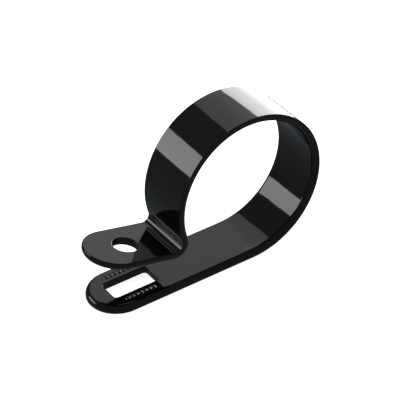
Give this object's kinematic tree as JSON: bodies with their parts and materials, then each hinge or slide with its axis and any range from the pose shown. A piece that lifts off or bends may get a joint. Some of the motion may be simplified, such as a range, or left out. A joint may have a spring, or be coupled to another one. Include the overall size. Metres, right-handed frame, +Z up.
{
  "type": "p clip",
  "caption": "One-piece plastic P clip: a sprung round loop for a cable bundle, an upper tab with a round screw hole, and a lower strip with a slot between rows of tick ribs.",
  "frame": {"origin": "centre of the fixing slot, on the flat underside of the lower strip", "axes": "+X along the strip from the slot towards the loop, +Y across the band's width and along the bundle, +Z up from the mounting surface"},
  "size_m": [0.0427, 0.0106, 0.0278],
  "materials": {
    "nylon": "glossy moulded black nylon"
  },
  "bodies": {
    "root": {"clip_body": "nylon"}
  },
  "joints": []
}
